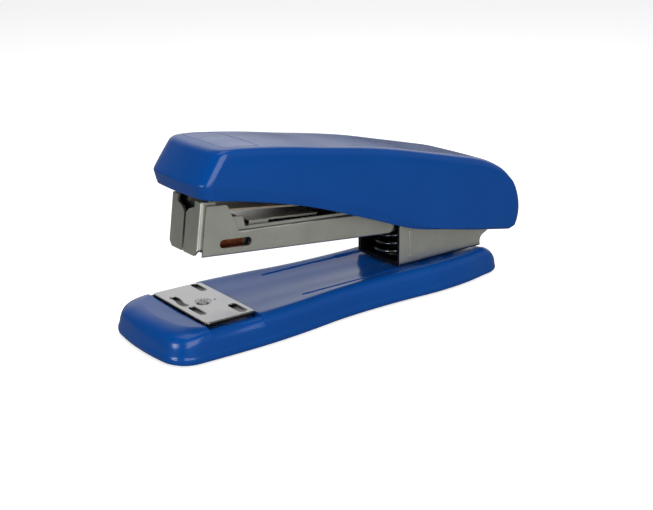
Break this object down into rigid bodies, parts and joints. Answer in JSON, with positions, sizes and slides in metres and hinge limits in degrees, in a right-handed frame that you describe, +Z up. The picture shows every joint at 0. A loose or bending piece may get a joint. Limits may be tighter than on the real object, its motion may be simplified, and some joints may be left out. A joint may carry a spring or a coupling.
{
  "type": "desktop stapler",
  "caption": "Half-strip desktop stapler: blue moulded cover over a sheet-metal magazine, hinged on a yoke above a base with a reversible anvil.",
  "frame": {"origin": "on the desk, under the middle of the base, at the centre of the rubber pad's underside", "axes": "+X from the nose to the hinge, +Z up, +Y to the far side seen from the near flank"},
  "size_m": [0.1255, 0.036, 0.0525],
  "materials": {
    "blue_plastic": "glossy moulded",
    "black_plastic": "matte moulded",
    "black_rubber": "matte",
    "satin_nickel": "satin nickel plate",
    "bright_nickel": "bright plate",
    "galvanised_steel": "zinc plate",
    "spring_steel": "bright drawn",
    "bronze_leaf": "tempered strip",
    "copper_staple": "copper-coated wire"
  },
  "bodies": {
    "base": {"base_shell": "blue_plastic", "base_plate": "galvanised_steel", "base_pad": "black_rubber", "hinge_bracket": "satin_nickel", "bracket_rivets": "satin_nickel", "hinge_pin": "satin_nickel", "lift_spring": "spring_steel", "anvil_spring": "spring_steel"},
    "anvil_lifter": {"anvil_button": "black_plastic"},
    "anvil": {"anvil_plate": "bright_nickel", "anvil_pin": "bright_nickel"},
    "magazine": {"magazine_case": "satin_nickel", "staple_channel": "satin_nickel", "staple_core": "satin_nickel", "guide_rod": "spring_steel", "spring_stop": "satin_nickel", "channel_rivets": "satin_nickel", "staple_strip": "copper_staple", "pusher_spring": "spring_steel"},
    "pusher": {"pusher": "satin_nickel"},
    "handle": {"cover_shell": "blue_plastic", "cover_panel": "blue_plastic", "handle_frame": "satin_nickel", "driver_blade": "spring_steel", "driver_rivets": "satin_nickel", "return_spring": "bronze_leaf", "spring_rivet": "satin_nickel"}
  },
  "joints": [
    {"name": "magazine_pivot", "type": "hinge", "parent": "base", "child": "magazine", "pos_m": [0.0495, 0, 0.0186], "axis": [0, 1, 0], "range_deg": [-8.3, 0], "stiffness_Nm_per_rad": 2, "springref_deg": 6.88, "deforming": ["lift_spring"]},
    {"name": "handle_pivot", "type": "hinge", "parent": "magazine", "child": "handle", "pos_m": [0.0495, 0, 0.0186], "axis": [0, 1, 0], "range_deg": [-5.9, 38], "stiffness_Nm_per_rad": 1.5, "springref_deg": 1.15, "deforming": ["return_spring"]},
    {"name": "pusher_slide", "type": "slide", "parent": "magazine", "child": "pusher", "axis": [0.9962, 0, -0.0872], "range_m": [0, 0.024], "stiffness_N_per_m": 30, "springref_m": -0.02, "deforming": ["pusher_spring"]},
    {"name": "anvil_lift", "type": "slide", "parent": "base", "child": "anvil_lifter", "axis": [0, 0, 1], "range_m": [0, 0.0015], "stiffness_N_per_m": 300, "springref_m": -0.002, "deforming": ["anvil_spring"]},
    {"name": "anvil_turn", "type": "hinge", "parent": "anvil_lifter", "child": "anvil", "pos_m": [-0.041, 0, 0.0092], "axis": [0, 0, 1], "range_deg": [0, 180]}
  ]
}
